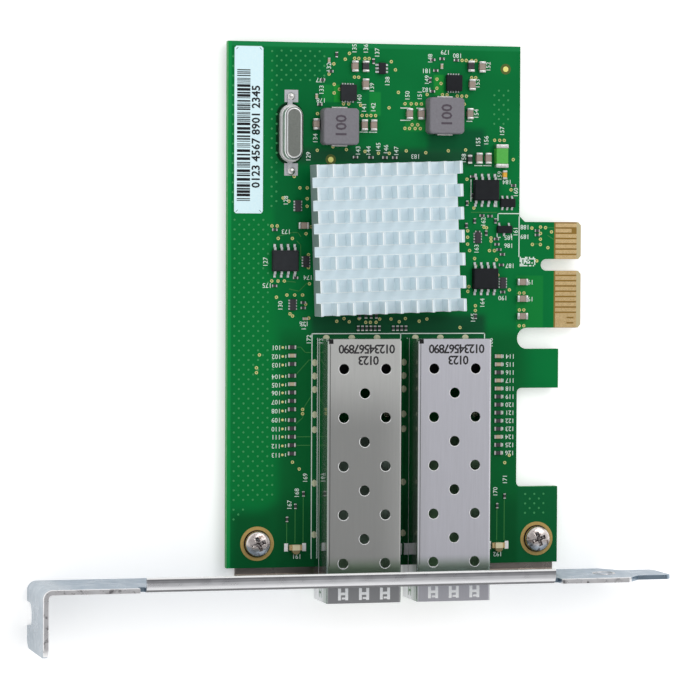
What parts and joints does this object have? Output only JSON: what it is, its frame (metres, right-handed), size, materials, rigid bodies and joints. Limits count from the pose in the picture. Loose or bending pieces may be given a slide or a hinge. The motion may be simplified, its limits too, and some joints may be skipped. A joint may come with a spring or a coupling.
{
  "type": "network interface card",
  "caption": "Low-rise optical network card: board with edge contacts, two open port cages, finned heat sink and a full-height folded bracket.",
  "frame": {"origin": "where the bracket's outer face, the board's component side and the board's free long edge meet", "axes": "+X from the board's free edge towards the edge contacts, +Y from the bracket's outer face along the board, +Z out of the component side"},
  "size_m": [0.12, 0.1116, 0.0184],
  "materials": {
    "laminate": "green solder mask over glass laminate",
    "gold_plating": "gold-plated copper, satin",
    "plated_sheet": "nickel-plated steel sheet, satin",
    "cage_sheet": "tin-plated sheet, semi-bright",
    "screw_steel": "plated steel, bright",
    "anodised_aluminium": "clear anodised, satin",
    "pad_silicone": "matte",
    "moulded_epoxy": "moulded, matte",
    "choke_ferrite": "pressed powder, matte",
    "tinned_copper": "tinned, satin",
    "crystal_steel": "drawn can, bright",
    "black_polymer": "moulded, matte",
    "green_film": "coated ceramic, satin",
    "ceramic": "fired ceramic, matte",
    "resistor_glaze": "black glaze",
    "tantalum_resin": "moulded, satin",
    "clear_resin": "clear resin",
    "white_polymer": "moulded, matte",
    "paper": "coated paper, matte"
  },
  "bodies": {
    "root": {"circuit_board": "laminate", "edge_contacts": "gold_plating", "mounting_bracket": "plated_sheet", "bracket_screws": "screw_steel", "ground_rings": "gold_plating", "heat_sink": "anodised_aluminium", "thermal_pad": "pad_silicone", "controller_chip": "moulded_epoxy", "crystal_base": "tinned_copper", "crystal_can": "crystal_steel", "crystal_leads": "tinned_copper", "choke_bodies": "choke_ferrite", "choke_terminals": "tinned_copper", "switcher_bodies": "moulded_epoxy", "switcher_pads": "tinned_copper", "transistor_bodies": "moulded_epoxy", "transistor_leads": "tinned_copper", "status_light_bases": "white_polymer", "status_light_lenses": "clear_resin", "status_light_ends": "gold_plating", "paper_label": "paper", "memory_chip_body": "moulded_epoxy", "memory_chip_leads": "tinned_copper", "upper_regulator_body": "moulded_epoxy", "upper_regulator_leads": "tinned_copper", "lower_regulator_body": "moulded_epoxy", "lower_regulator_leads": "tinned_copper", "tall_capacitor_body": "green_film", "tall_capacitor_ends": "tinned_copper", "capacitor_bodies": "ceramic", "capacitor_ends": "tinned_copper", "large_resistor_bodies": "resistor_glaze", "large_resistor_ends": "tinned_copper", "small_chip_bodies": "ceramic", "small_chip_ends": "tinned_copper", "resistor_array_bodies": "resistor_glaze", "resistor_array_ends": "tinned_copper", "yellow_capacitor_body": "tantalum_resin", "yellow_capacitor_ends": "tinned_copper", "left_cage_cover": "cage_sheet", "left_cage_floor": "cage_sheet", "left_receptacle": "black_polymer", "left_receptacle_contacts": "gold_plating", "right_cage_cover": "cage_sheet", "right_cage_floor": "cage_sheet", "right_receptacle": "black_polymer", "right_receptacle_contacts": "gold_plating"}
  },
  "joints": []
}
